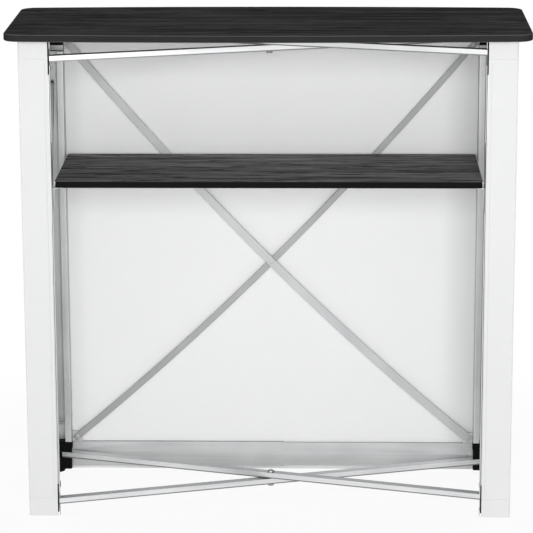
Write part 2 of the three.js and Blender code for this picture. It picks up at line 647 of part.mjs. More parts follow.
const rebates = [-1, 1].flatMap((side) => [
  rebate(side, SHELF_LOW - 1, SHELF_LOW + REBATE),
  rebate(side, SHELF_HEIGHT - REBATE, SHELF_HEIGHT + 1),
]);
add(part, 'shelf_board', cut(shelf, ...rebates), BLACK_WOOD);
for (const [sideName, side] of [['left', -1], ['right', 1]]) {
  const low = SHELF_LOW + TRIM_SINK;
  const high = SHELF_HEIGHT - TRIM_SINK;
  const channel = cut(
    block(side * SHELF_HALF, side * TRIM_REACH, SHELF_Y0, SHELF_Y1, low, high),
    block(
      side * (SHELF_HALF - TRIM_WALL), side * (TRIM_REACH - 1), SHELF_Y0 - 1, SHELF_Y1 + 1,
      low + TRIM_WALL, high - TRIM_WALL,
    ),
  );
  add(part, `shelf_trim_${sideName}`, channel, BRIGHT_ALUMINIUM);
}

// Top board: long edges that swell a little, round corners, and holes under it for the two pegs
function topShape() {
  const w = TOP_LENGTH / 2;
  const d = TOP_DEPTH / 2;
  const end = d - TOP_BOW;
  const r = TOP_CORNER;
  const shape = new THREE.Shape();
  shape.moveTo(-w + r, -end);
  shape.quadraticCurveTo(0, -d - TOP_BOW, w - r, -end);
  shape.absarc(w - r, -end + r, r, -Math.PI / 2, 0);
  shape.absarc(w - r, end - r, r, 0, Math.PI / 2);
  shape.quadraticCurveTo(0, d + TOP_BOW, -w + r, end);
  shape.absarc(-w + r, end - r, r, Math.PI / 2, Math.PI);
  shape.absarc(-w + r, -end + r, r, Math.PI, 1.5 * Math.PI);
  return shape;
}
const pegHole = PEG_RADIUS + PEG_PLAY;
const holeTop = TOP_UNDER + PEG_TALL + SEAT;
const slotEnd = LEG_X + WIDENING + PEG_SPARE;
add(
  part, 'top_board',
  cut(
    slab(topShape(), TOP_UNDER, HEIGHT, TOP_EASE, 8, 2),
    rod('z', pegHole, TOP_UNDER - 1, holeTop, -LEG_X, LEG_FRONT_Y),
    rod('z', pegHole, TOP_UNDER - 1, holeTop, LEG_X, LEG_FRONT_Y),
    rod('z', pegHole, TOP_UNDER - 1, holeTop, slotEnd, LEG_FRONT_Y),
    block(LEG_X, slotEnd, LEG_FRONT_Y - pegHole, LEG_FRONT_Y + pegHole, TOP_UNDER - 1, holeTop),
  ),
  BLACK_WOOD,
);

export default part;
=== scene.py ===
# %% [markdown]
# # A folding portable bar
# The real bar is an aluminium frame in black plastic corner hubs, with a white fabric cover, and a shelf and
# a top of black wood-grain board. The frame is loaded in metres and is never moved. This lesson gives each
# surface its finish, and models anew what needs smoother or softer shapes than the frame holds: the boards,
# the cloth, the front strips, the shelf brackets, the foot pads and the fasteners.

import json
import math

import bpy
from mathutils import Euler, Matrix, Vector


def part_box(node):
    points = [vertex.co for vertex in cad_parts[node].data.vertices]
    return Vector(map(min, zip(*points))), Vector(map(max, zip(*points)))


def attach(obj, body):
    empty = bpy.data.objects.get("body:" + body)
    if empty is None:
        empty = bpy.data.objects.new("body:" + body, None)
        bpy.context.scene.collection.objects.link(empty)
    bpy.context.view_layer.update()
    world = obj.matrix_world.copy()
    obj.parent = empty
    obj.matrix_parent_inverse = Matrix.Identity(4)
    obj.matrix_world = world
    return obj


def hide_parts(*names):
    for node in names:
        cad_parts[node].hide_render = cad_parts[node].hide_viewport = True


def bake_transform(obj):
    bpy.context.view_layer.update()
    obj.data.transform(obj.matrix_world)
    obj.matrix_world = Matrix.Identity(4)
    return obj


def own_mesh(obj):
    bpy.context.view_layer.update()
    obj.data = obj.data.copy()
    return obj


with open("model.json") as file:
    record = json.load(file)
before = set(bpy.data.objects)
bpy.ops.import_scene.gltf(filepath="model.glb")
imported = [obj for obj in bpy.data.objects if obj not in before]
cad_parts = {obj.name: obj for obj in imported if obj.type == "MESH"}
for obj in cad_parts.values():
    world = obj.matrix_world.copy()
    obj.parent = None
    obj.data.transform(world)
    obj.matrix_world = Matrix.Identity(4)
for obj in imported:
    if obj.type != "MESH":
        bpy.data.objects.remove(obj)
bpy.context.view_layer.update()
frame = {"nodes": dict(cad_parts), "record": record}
cad_nodes = frame["nodes"]
scene = bpy.context.scene
scene.view_settings.view_transform = "Standard"
MM = 0.001
SIDES = ("left", "right")
CORNERS = ("front_left", "front_right", "rear_left", "rear_right")
BODY_OF = {}
for body, members in frame["record"]["behaviour"]["bodies"].items():
    for node in members:
        BODY_OF[node] = body

# %% [markdown]
# ## The camera
# The photograph was taken from the serving side, a little above the top and a little to the right, with a
# long lens from far away. Its place was found by matching the edges of the boards and legs, so the values
# here are a place in metres, three angles, and a focal length in pixels of a square image.

# %% Camera
CAMERA_PLACE = Vector((0.1289, -5.809, 1.9906))
CAMERA_YAW = -0.0236
CAMERA_PITCH = -0.2447
CAMERA_ROLL = -0.0036
CAMERA_SIGHT = 60
FOCAL_PIXELS = 2646.9
IMAGE_PIXELS = 533

bpy.ops.object.camera_add()
camera = bpy.context.object
camera.name = "photo_camera"
level = Euler((math.pi / 2 + CAMERA_PITCH, 0, -CAMERA_YAW)).to_matrix().to_4x4()
camera.matrix_world = Matrix.Translation(CAMERA_PLACE) @ level @ Matrix.Rotation(CAMERA_ROLL, 4, "Z")
camera.data.sensor_fit = "HORIZONTAL"
camera.data.lens = camera.data.sensor_width * FOCAL_PIXELS / IMAGE_PIXELS
camera.data.clip_end = CAMERA_SIGHT
scene.camera = camera
print("camera lens:", round(camera.data.lens, 1), "mm")

# %% [markdown]
# ## Writing materials as expressions
# A material is a web of nodes, and long webs are hard to read. Small classes help. A Value is a number on
# its way through the web, and adding or multiplying it adds a Math node.

# %% Values
class Value:
    """A number on its way through a web of nodes. Arithmetic on it adds Math nodes."""

    def __init__(self, web, socket):
        self.web = web
        self.socket = socket

    def math(self, operation, first, second=0):
        return self.web.add("ShaderNodeMath", {"operation": operation}, {0: first, 1: second})

    def __add__(self, other):
        return self.math("ADD", self, other)

    def __radd__(self, other):
        return self.math("ADD", other, self)

    def __sub__(self, other):
        return self.math("SUBTRACT", self, other)

    def __rsub__(self, other):
        return self.math("SUBTRACT", other, self)

    def __mul__(self, other):
        return self.math("MULTIPLY", self, other)

    def __rmul__(self, other):
        return self.math("MULTIPLY", other, self)

    def wave(self):
        return self.math("SINE", self)

    def size(self):
        return self.math("ABSOLUTE", self)

    def root(self):
        return self.math("SQRT", self)

    def or_more(self, other):
        return self.math("MAXIMUM", self, other)

    def between(self, low, high):
        """0 below low, 1 above high, and a smooth step between them."""
        settings = {"interpolation_type": "SMOOTHSTEP"}
        sockets = {"Value": self, "From Min": low, "From Max": high}
        return self.web.add("ShaderNodeMapRange", settings, sockets)


print("a value knows:", [name for name in vars(Value) if not name.startswith("__")])

# %% [markdown]
# A Web makes the nodes: its add method takes a node's type, its settings and what goes into its sockets, and
# the other methods are the few patterns that all finishes share. A Finish is a web in a material of its own.

# %% Webs and finishes
class Web:
    """A web of nodes, in a material or in the world."""

    def __init__(self, tree):
        self.tree = tree

    def plug(self, node, sockets):
        for key, value in sockets.items():
            if isinstance(value, Value):
                self.tree.links.new(value.socket, node.inputs[key])
            else:
                node.inputs[key].default_value = value

    def add(self, kind, settings=None, sockets=None, output=0):
        node = self.tree.nodes.new(kind)
        for key, value in (settings or {}).items():
            setattr(node, key, value)
        self.plug(node, sockets or {})
        return Value(self, node.outputs[output])

    def place(self):
        return self.add("ShaderNodeTexCoord", output="Object")

    def axes(self):
        place = self.place()
        return [self.add("ShaderNodeSeparateXYZ", sockets={0: place}, output=i) for i in range(3)]

    def noise(self, lengths, turn=(0, 0, 0), detail=4.0, rough=0.55, warp=0.0):
        """Noise whose blotches have these lengths in metres, along axes turned by these angles."""
        sockets = {"Vector": self.place(), "Rotation": turn, "Scale": lengths}
        stretched = self.add("ShaderNodeMapping", {"vector_type": "TEXTURE"}, sockets)
        sockets = {"Vector": stretched, "Scale": 1.0}
        sockets.update({"Detail": detail, "Roughness": rough, "Distortion": warp})
        return self.add("ShaderNodeTexNoise", sockets=sockets)

    def upward(self):
        """1 where a face points up or down, and 0 where it stands upright."""
        normal = self.add("ShaderNodeTexCoord", output="Normal")
        return self.add("ShaderNodeSeparateXYZ", sockets={0: normal}, output=2).size()

    def blend_colours(self, share, first, second):
        return self.add("ShaderNodeMix", {"data_type": "RGBA"}, {0: share, 6: first, 7: second}, output=2)

    def bump(self, height, depth, strength):
        sockets = {"Strength": strength, "Distance": depth, "Height": height}
        return self.add("ShaderNodeBump", sockets=sockets)


class Finish(Web):
    """A material in the making, for one material slot of the record."""

    def __init__(self, name, slot=None):
        self.material = bpy.data.materials.new(name)
        self.material.use_nodes = True
        super().__init__(self.material.node_tree)
        self.surface = self.tree.nodes["Principled BSDF"]
        self.slot = slot

    def set(self, **sockets):
        self.plug(self.surface, {key.replace("_", " "): value for key, value in sockets.items()})


def grey(level, tint=0.0):
    """A grey colour, a touch blue when tint is above 0."""
    return (level * (1 - tint), level, level * (1 + tint), 1)


print("a web knows:", [name for name in vars(Web) if not name.startswith("__")])

# %% [markdown]
# ## Black wood-grain board
# The top and the shelf are board with a black laminate that copies open-grained wood. Long pale streaks run
# along the board, broken by dark cracks and short pores. A photograph of wood would repeat and blur, so
# noises are stretched along X instead: broad bands, streaks, cracks and pores. The same pattern lifts the
# surface a little. The edges have a plainer band, and a painted highlight line where they meet the face, and
# both are found by which way a face points. The level of the edge band is painted light and shade: on the
# shelf it is painted shade, as the top shades its edge. The laminate is quite dull, so it has no gloss, and
# the shelf's faces are painted paler than the top's, as painted light.

# %% Black wood finishes
BAND_SIZE = (0.60, 0.060, 0.060)
STREAK_SIZE = (0.24, 0.0135, 0.0135)
CRACK_SIZE = (0.09, 0.0085, 0.0085)
PORE_SIZE = (0.045, 0.0022, 0.0022)
BAND_SHARE = 0.25
PORE_DARK = 0.55
CRACK_DARK = 0.9
EDGE_DARK = 0.6
WOOD_ROUGH = 0.64
WOOD_DEEP = 0.3 * MM


def black_wood(name, pale, dark, edge, painted_highlight):
    """Board with pale and dark grain on its faces, a plainer edge band, and a painted highlight line between
    the two.
    """
    wood = Finish(name, "black_wood")
    bands = wood.noise(BAND_SIZE, detail=3, warp=0.6)
    streaks = wood.noise(STREAK_SIZE, detail=6, rough=0.66, warp=0.35)
    cracks = wood.noise(CRACK_SIZE, detail=4, rough=0.6, warp=0.4).between(0.57, 0.64)
    pores = wood.noise(PORE_SIZE, detail=2).between(0.55, 0.68)
    grain = (bands * BAND_SHARE + streaks * (1 - BAND_SHARE)).between(0.30, 0.68)
    tone = grain * (1 - PORE_DARK * pores) * (1 - CRACK_DARK * cracks)
    facing = wood.upward()
    face = facing.between(0.3, 0.8)
    # A painted highlight along the line where an edge meets the face.
    rim = facing.between(0.2, 0.45) * (1 - facing.between(0.85, 0.97))
    fleck = grain * 0.5 + 0.5
    # The edge band is painted at its own level on each board: painted shade on the shelf's edges.
    banding = wood.blend_colours(fleck, grey(edge * EDGE_DARK), grey(edge))
    colour = wood.blend_colours(face, banding, wood.blend_colours(tone, grey(dark), grey(pale)))
    wood.set(Base_Color=wood.blend_colours(rim, colour, grey(painted_highlight)))
    wood.set(Roughness=WOOD_ROUGH - 0.12 * grain + 0.15 * pores, Specular_IOR_Level=0.0)
    wood.set(Normal=wood.bump(grain * 0.4 - pores * 0.6 - cracks, WOOD_DEEP, 0.6))
    return wood


# One laminate at two levels: the shelf's faces paler as painted light, its edge band darker as painted shade.
# The last value of each is the painted highlight along the edges.
TOP_WOOD = black_wood("top_black_wood", pale=0.098, dark=0.022, edge=0.034, painted_highlight=0.11)
SHELF_WOOD = black_wood("shelf_black_wood", pale=0.39, dark=0.030, edge=0.011, painted_highlight=0.05)
print("finishes:", TOP_WOOD.material.name, SHELF_WOOD.material.name)

# %% [markdown]
# ## Brushed aluminium
# The legs, bars and rail are drawn or brushed, so fine lines run along each piece. One function makes them
# all: it stretches a noise along the piece, turned where the piece leans, and uses it for the colour, the
# roughness and a very shallow bump. A broad, soft noise adds the uneven greys of handled metal.

# %% Brushed metal
LINE_LONG = 0.30
LINE_FINE = 0.9 * MM
SPECK = 3 * MM
ALONG = (LINE_LONG, LINE_FINE, LINE_FINE)
ACROSS = (LINE_FINE, LINE_LONG, LINE_FINE)
UPRIGHT = (LINE_FINE, LINE_FINE, LINE_LONG)
SPECKLED = (SPECK, SPECK, SPECK)
CLOUD_SIZE = (0.12, 0.12, 0.12)
SCUFF_SIZE = (0.02, 0.02, 0.02)
DULL = 0.86
BRIGHT = 1.1
BRIGHTEST = 0.95
COLD = 0.012
COOL = 0.006
# A painted shadow line along the foot of a scissor bar: how tall it is, how it fades, and how dark.
SHADOW_LINE_TALL = 2.0 * MM
SHADOW_LINE_FADE = 1.6
SHADOW_LINE_SHADE = 0.3
LINE_DEEP = 0.05 * MM


def brushed(name, slot, shade, rough, lengths=ALONG, turn=(0, 0, 0), edge=1.0, shadow_line_base=None):
    """Metal brushed along its length. Faces that point up or down are edge times as bright; below 1 that is
    painted shade on them.

    A bar given a base height has a painted shadow line along its foot, up to just above that height.
    """
    metal = Finish(name, slot)
    lines = metal.noise(lengths, turn, detail=3)
    cloud = metal.noise(CLOUD_SIZE, detail=2)
    scuffs = metal.noise(SCUFF_SIZE, detail=6, rough=0.7).between(0.62, 0.8)
    share = (lines * 0.6 + cloud * 0.4).between(0.3, 0.7)
    pale = grey(min(shade * BRIGHT, BRIGHTEST), COOL)
    face = metal.blend_colours(share, grey(shade * DULL, COLD), pale)
    # Faces that point up or down: on the scissor bars they are painted darker, as painted shade.
    rim = metal.blend_colours(share, grey(shade * edge * DULL, COLD), grey(shade * edge, COOL))
    colour = metal.blend_colours(metal.upward().between(0.3, 0.9), face, rim)
    # A painted shadow line along the foot of the bar.
    if shadow_line_base is not None:
        height = metal.axes()[2]
        above = height.between(shadow_line_base + SHADOW_LINE_TALL, shadow_line_base + SHADOW_LINE_FADE * SHADOW_LINE_TALL)
        colour = metal.blend_colours(above, grey(shade * SHADOW_LINE_SHADE), colour)
    metal.set(Base_Color=colour)
    metal.set(Metallic=1.0, Roughness=rough + 0.14 * lines + 0.1 * scuffs)
    metal.set(Normal=metal.bump(lines, LINE_DEEP, 0.5))
    return metal


LEG_METAL = brushed("leg_aluminium", "leg_aluminium", 0.53, 0.38, UPRIGHT)
RAIL_METAL = brushed("rail_aluminium", "leg_aluminium", 0.42, 0.36)
TRIM_METAL = brushed("trim_aluminium", "bar_aluminium", 0.70, 0.3, ACROSS)
# A darker copy of the leg aluminium for the head collars, as painted shade under the top.
SHADED_LEG_METAL = brushed("shaded_leg_aluminium", "leg_aluminium", 0.26, 0.42, UPRIGHT)
SIDE_METAL = brushed("side_bar_aluminium", "leg_aluminium", 0.42, 0.36, UPRIGHT)
STEEL = brushed("zinc_steel", "steel", 0.34, 0.34, SPECKLED)
METALS = (LEG_METAL, RAIL_METAL, TRIM_METAL, SHADED_LEG_METAL, SIDE_METAL, STEEL)
print("metal finishes:", [metal.material.name for metal in METALS])

# %% [markdown]
# The scissor bars lean, half of them one way and half the other, so each gets its own finish, with the
# brushed lines turned along it. Their upper faces are painted darker than their sides, as painted shade, and
# a painted shadow line runs along the foot of each bar.

# %% Scissor bar finishes
BAR_SHADE = 0.70
BAR_ROUGH = 0.3
# Under 1, which paints shade on the upper faces of the bars.
BAR_PAINTED_TOP_SHADE = 0.62


def middle_of(node):
    low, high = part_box(node)
    return (low + high) / 2


def lean_of(node_a, node_b):
    """The angle, seen from above, of a bar between the middles of two nodes."""
    run = middle_of(node_b) - middle_of(node_a)
    return math.atan2(run.y, run.x)


LEAN = lean_of("bottom_pin_rear_left", "bottom_pin_front_right")
BAR_METAL = {}
for end in ("bottom", "top"):
    for layer, sign in (("upper", -1), ("lower", 1)):
        bar = f"{end}_bar_{layer}"
        BAR_METAL[bar] = brushed(f"{bar}_aluminium", "bar_aluminium", BAR_SHADE, BAR_ROUGH,
                                 turn=(0, 0, sign * LEAN), edge=BAR_PAINTED_TOP_SHADE, shadow_line_base=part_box(bar)[0].z)
print("bar finishes:", len(BAR_METAL), "with a lean of", round(math.degrees(LEAN), 1), "degrees")

# %% [markdown]
# ## Black plastic and rubber
# The hubs are moulded nylon, with the fine even grain that spark-eroded moulds leave. The foot pads are soft
# rubber, duller and a little dusty. Both are nearly black, so it is the roughness and the bump that tell
# them apart. The strips are held by metal tabs in the hubs, so the hubs' finish turns to bare aluminium
# wherever a hub reaches inside the legs.

# %% Plastic and rubber finishes
NYLON_SHADE = 0.0035
NYLON_ROUGH = 0.5
NYLON_GRAIN = 0.6 * MM
RUBBER_SHADE = 0.0075
RUBBER_ROUGH = 0.78
RUBBER_GRAIN = 1.1 * MM
DUST_SIZE = (0.015, 0.015, 0.015)
DUST_PALE = 2.2
TAB_SHADE = 0.5
TAB_FADE = 0.3 * MM
PEBBLE_DEEP = 0.06 * MM


def moulded(name, slot, shade, rough, grain, insert=None):
    """Dull black with a fine grain. Nearer to the middle of the bar than insert, it is a metal tab."""
    black = Finish(name, slot)
    pebble = black.noise((grain, grain, grain), detail=2)
    dust = black.noise(DUST_SIZE, detail=5).between(0.5, 0.8)
    colour = black.blend_colours(dust, grey(shade), grey(shade * DUST_PALE))
    if insert is not None:
        metal = 1 - black.axes()[0].size().between(insert, insert + TAB_FADE)
        colour = black.blend_colours(metal, colour, grey(TAB_SHADE))
        black.set(Metallic=metal)
    black.set(Base_Color=colour)
    black.set(Roughness=rough + 0.12 * dust + 0.06 * pebble, Specular_IOR_Level=0.06)
    black.set(Normal=black.bump(pebble, PEBBLE_DEEP, 0.5))
    return black


LEG_INSIDE = -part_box("leg_front_left")[1].x
BLACK_PLASTIC = moulded("moulded_nylon", "black_plastic", NYLON_SHADE, NYLON_ROUGH, NYLON_GRAIN)
HUB_PLASTIC = moulded("hub_nylon_with_tab", "black_plastic", NYLON_SHADE, NYLON_ROUGH, NYLON_GRAIN,
                      insert=LEG_INSIDE)
RUBBER = moulded("foot_rubber", "rubber", RUBBER_SHADE, RUBBER_ROUGH, RUBBER_GRAIN)
print("dark finishes:", BLACK_PLASTIC.material.name, HUB_PLASTIC.material.name, RUBBER.material.name)

# %% [markdown]
# ## White cloth
# The cover is plain white polyester in a plain weave. Threads go over and under each other, so the height
# is a product of two sine waves: one along the panel, one up it. Front and side panels lie in different
# planes, so the wave along the panel runs on X plus Y, and works on both.

# %% Cloth finish
THREAD = 0.8 * MM
SLUB_SIZE = (0.03, 0.03, 0.004)
HAZE_SIZE = (0.2, 0.2, 0.2)
SLUB_SHADE = 0.975
SLUB_TINT = 0.004
CLOTH_TINT = 0.002
WEAVE_DEEP = 0.05 * MM


def woven(name, shade):
    cloth = Finish(name, "white_cloth")
    x, y, z = cloth.axes()
    turns = 2 * math.pi / THREAD
    along = ((x + y) * turns).wave()
    upward = (z * turns).wave()
    slub = cloth.noise(SLUB_SIZE, detail=4)
    haze = cloth.noise(HAZE_SIZE, detail=2)
    tone = (slub * 0.5 + haze * 0.5).between(0.2, 0.8)
    slubs = grey(shade * SLUB_SHADE, SLUB_TINT)
    cloth.set(Base_Color=cloth.blend_colours(tone, slubs, grey(shade, CLOTH_TINT)))
    cloth.set(Roughness=0.82 + 0.1 * slub, Specular_IOR_Level=0.2)
    cloth.set(Normal=cloth.bump(along * upward + slub * 0.6, WEAVE_DEEP, 0.35))
    return cloth


CLOTH = woven("white_cover_cloth", 0.90)
STRIP_CLOTH = woven("white_leg_strip_cloth", 0.785)
THREAD_FINISH = woven("white_sewing_thread", 0.62)
print("cloth finishes:", CLOTH.material.name, STRIP_CLOTH.material.name, THREAD_FINISH.material.name)

# %% [markdown]
# ## Dressing the frame
# Most frame pieces have the right shape already and only need a finish. Each rule below is the start of a
# node's name with the finish it gets.

# %% Finishes of the frame pieces
DRESS = {
    "leg_": LEG_METAL,
    "bottom_rail_": RAIL_METAL,
    **BAR_METAL,
    "side_bar_": SIDE_METAL,
    "bottom_pin_": STEEL,
    "top_pin_": STEEL,
    "foot_hub_": HUB_PLASTIC,
    "head_hub_": HUB_PLASTIC,
}
dressed = 0
for name, node in cad_nodes.items():
    for start, finish in DRESS.items():
        if name.startswith(start):
            node.data.materials.clear()
            node.data.materials.append(finish.material)
            dressed += 1
print("frame pieces dressed:", dressed)

# %% [markdown]
# ## Small habits for modelling with operators
# Operators act on whatever is selected, so every step starts by clearing the selection. The first helpers do
# that, put a piece's place into its mesh, apply a modifier, ease the sharp edges of a piece, and pick edges
# by a test.

# %% Selecting and shaping
def clear_selection():
    if bpy.context.object and bpy.context.object.mode != "OBJECT":
        bpy.ops.object.mode_set(mode="OBJECT")
    bpy.ops.object.select_all(action="DESELECT")


def pick(piece):
    clear_selection()
    piece.select_set(True)
    bpy.context.view_layer.objects.active = piece
    return piece


def settle(piece):
    pick(piece)
    bpy.ops.object.transform_apply(location=True, rotation=True, scale=True)
    return piece


def modify(piece, kind, **settings):
    pick(piece)
    modifier = piece.modifiers.new(kind.lower(), kind)
    for key, value in settings.items():
        setattr(modifier, key, value)
    bpy.ops.object.modifier_apply(modifier=modifier.name)
    return piece


def ease(piece, width, steps=2, sharper_than=30):
    """Rounds the edges that turn by more than this many degrees, in this many steps."""
    limit = math.radians(sharper_than)
    return modify(piece, "BEVEL", width=width, segments=steps, limit_method="ANGLE", angle_limit=limit)


def pick_edges(piece, test):
    """Opens edit mode with those edges selected whose direction and middle pass the test."""
    pick(piece)
    bpy.ops.object.mode_set(mode="EDIT")
    bpy.ops.mesh.select_mode(type="EDGE")
    bpy.ops.mesh.select_all(action="DESELECT")
    bpy.ops.object.mode_set(mode="OBJECT")
    points = [vertex.co for vertex in piece.data.vertices]
    for edge in piece.data.edges:
        a, b = (points[i] for i in edge.vertices)
        edge.select = test((b - a).normalized(), (a + b) / 2)
    bpy.ops.object.mode_set(mode="EDIT")


clear_selection()
print("selected after clearing:", len(bpy.context.selected_objects))

# %% [markdown]
# The next helpers start a block between two corners, and give a finished piece its name, finish and shading.

# %% Starting and naming
def cube_between(low, high):
    """A cube stretched between two corners, with its place in its mesh."""
    clear_selection()
    bpy.ops.mesh.primitive_cube_add(size=1, location=(Vector(low) + Vector(high)) / 2)
    piece = bpy.context.object
    piece.scale = Vector(high) - Vector(low)
    return settle(piece)


def name_piece(piece, name, finish, smooth=40):
    pick(piece)
    piece.name = name
    piece.data.name = name
    piece.data.materials.clear()
    piece.data.materials.append(finish.material)
    bpy.ops.object.shade_smooth_by_angle(angle=math.radians(smooth))
    return piece


def even_shading(piece):
    """Lets the large flat faces set the shading, so that eased edges don't tint them."""
    modify(piece, "WEIGHTED_NORMAL", keep_sharp=True)


def stand_in(piece, node, body):
    """The piece hides a frame node and moves with a body."""
    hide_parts(node)
    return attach(piece, body)


print("meshes before modelling:", len(bpy.data.meshes))

# %% [markdown]
# ## The top board
# The top is one board with rounded corners and long edges that swell a little in the middle. It starts as a
# flat plane: its corners are rounded by a vertex bevel, its long edges are cut into short lengths and pushed
# out along a parabola, and then Solidify gives it its thickness and a bevel eases the rim.

# %% Top board
TOP_CORNER = 34 * MM
TOP_CORNER_STEPS = 12
TOP_BOW = 14 * MM
TOP_CUTS = 47
TOP_EASE = 2.4 * MM
BOARD_STEPS = 4
BOARD_SHARP = 50
STRAIGHT = 0.999
MOSTLY = 0.9


def top_board():
    low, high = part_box("top_board")
    size = high - low
    clear_selection()
    bpy.ops.mesh.primitive_plane_add(size=1, location=(0, 0, low.z))
    piece = bpy.context.object
    piece.scale = (size.x, size.y - 2 * TOP_BOW, 1)
    settle(piece)
    bpy.ops.object.mode_set(mode="EDIT")
    bpy.ops.mesh.select_all(action="SELECT")
    bpy.ops.mesh.bevel(offset=TOP_CORNER, segments=TOP_CORNER_STEPS, affect="VERTICES")
    pick_edges(piece, lambda along, middle: abs(along.x) > STRAIGHT and abs(middle.x) < TOP_CORNER)
    bpy.ops.mesh.subdivide(number_cuts=TOP_CUTS)
    bpy.ops.object.mode_set(mode="OBJECT")
    for vertex in piece.data.vertices:
        share = vertex.co.x / (size.x / 2 - TOP_CORNER)
        if abs(share) < 1:
            vertex.co.y += math.copysign(TOP_BOW * (1 - share * share), vertex.co.y)
    modify(piece, "SOLIDIFY", thickness=size.z, offset=1)
    ease(piece, TOP_EASE, BOARD_STEPS, BOARD_SHARP)
    name_piece(piece, "top_board_smooth", TOP_WOOD)
    even_shading(piece)
    return stand_in(piece, "top_board", "top")


top = top_board()
print("top board:", len(top.data.polygons), "faces")

# %% [markdown]
# ## The shelf
# The shelf board fits between the legs. It is a box with rounded upright corners and eased edges, and a thin
# aluminium strip closes each end. The strip is a flat bar, bevelled all round, and lets the wood show to the
# very end of the long edge.

# %% Shelf board and end strips
SHELF_EASE = 1.5 * MM
SHELF_CORNER = 7 * MM
SHELF_CORNER_STEPS = 8
END_STRIP = 1.6 * MM
END_SUNK = 0.2 * MM
END_SHORT = 9 * MM
END_LOW = 1.2 * MM
FINE_EASE = 0.5 * MM


def is_upright(along, middle):
    return abs(along.z) > MOSTLY


def shelf_board():
    low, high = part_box("shelf_board")
    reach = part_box("shelf_trim_right")[1].x - END_STRIP
    piece = cube_between((-reach, low.y, low.z), (reach, high.y, high.z))
    pick_edges(piece, is_upright)
    bpy.ops.mesh.bevel(offset=SHELF_CORNER, segments=SHELF_CORNER_STEPS, affect="EDGES")
    bpy.ops.object.mode_set(mode="OBJECT")
    ease(piece, SHELF_EASE, BOARD_STEPS, BOARD_SHARP)
    name_piece(piece, "shelf_board_smooth", SHELF_WOOD)
    even_shading(piece)
    return stand_in(piece, "shelf_board", "shelf")


def shelf_end(side):
    node = f"shelf_trim_{side}"
    low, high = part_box(node)
    outer = low.x if side == "left" else high.x
    start = outer - math.copysign(END_STRIP + END_SUNK, outer)
    near = Vector((min(start, outer), low.y + END_SHORT, low.z + END_LOW))
    far = Vector((max(start, outer), high.y - END_SHORT, high.z - END_LOW))
    piece = ease(cube_between(near, far), FINE_EASE, steps=3)
    name_piece(piece, f"{node}_strip", TRIM_METAL)
    return stand_in(piece, node, "shelf")


shelf = shelf_board()
shelf_ends = [shelf_end(side) for side in SIDES]
print("shelf board:", len(shelf.data.polygons), "faces, with", len(shelf_ends), "end strips")

# %% [markdown]
# ## Brackets under the shelf
# A small metal angle on each leg carries the shelf. It is a thin plate flat on the leg with a ledge folded
# out under the board, so it is extruded from a block: the block is the plate, and its top inner face is drawn
# out into the ledge. The rear brackets stand back from the edge of the shelf, which hides them.

# %% Shelf brackets
PLATE_THICK = 2.4 * MM
LEDGE_THICK = 1.2 * MM
LEDGE_LONG = 0.8
BRACKET_BACK = 7 * MM
NEARLY = 0.1 * MM


def pick_faces(piece, test):
    """Opens edit mode with those faces selected whose normal and middle pass the test."""
    pick(piece)
    bpy.ops.object.mode_set(mode="EDIT")
    bpy.ops.mesh.select_mode(type="FACE")
    bpy.ops.mesh.select_all(action="DESELECT")
    bpy.ops.object.mode_set(mode="OBJECT")
    for face in piece.data.polygons:
        face.select = test(face.normal, face.center)
    bpy.ops.object.mode_set(mode="EDIT")


def shelf_bracket(corner):
    node = f"shelf_bracket_{corner}"
    low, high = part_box(node)
    if corner.startswith("rear"):
        low.y += BRACKET_BACK
    wall, reach, inward = (low.x, high.x, 1) if corner.endswith("left") else (high.x, low.x, -1)
    plate = wall + inward * PLATE_THICK
    piece = cube_between((min(wall, plate), low.y, low.z), (max(wall, plate), high.y, high.z))
    pick_edges(piece, is_upright)
    bpy.ops.mesh.subdivide(number_cuts=1)
    bpy.ops.object.mode_set(mode="OBJECT")
    ledge = high.z - LEDGE_THICK
    for vertex in piece.data.vertices:
        if abs(vertex.co.z - (low.z + high.z) / 2) < NEARLY:
            vertex.co.z = ledge
    pick_faces(piece, lambda normal, middle: normal.x * inward > MOSTLY and middle.z > ledge)
    out = Vector(((reach - plate) * LEDGE_LONG, 0, 0))
    bpy.ops.mesh.extrude_region_move(TRANSFORM_OT_translate={"value": out})
    bpy.ops.object.mode_set(mode="OBJECT")
    ease(piece, FINE_EASE)
    name_piece(piece, f"{node}_angle", LEG_METAL)
    return stand_in(piece, node, BODY_OF[node])


brackets = [shelf_bracket(corner) for corner in CORNERS]
print("shelf brackets:", len(brackets))

# %% [markdown]
# ## The strips across the front
# Two thin flat strips cross behind the front cover, and hang in a shallow curve between their bolts. Each is
# a bar cut into many short lengths, with its ends cut square, turned to its slope and then let down along a
# parabola. When the frame folds, the front right corner slides away from the front left one. How the real
# strips give way isn't known, and here each strip keeps its place in its mesh and is tied to neither body.

# %% Front strips
STRIP_DROOP = 41 * MM
STRIP_WIDE = {"left": 18 * MM, "right": 14 * MM}
# The right strip is painted darker than the left, as painted shade on the same metal.
STRIP_SHADE = {"left": 0.44, "right": 0.33}
STRIP_ROUGH = 0.55
STRIP_CUTS = 79
STRIP_END = 9 * MM
STRIP_CORNER = 1.5 * MM


def stretch_with_slide(piece):
    """Puts the piece's place into its mesh; it is tied to neither front corner."""
    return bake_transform(piece)


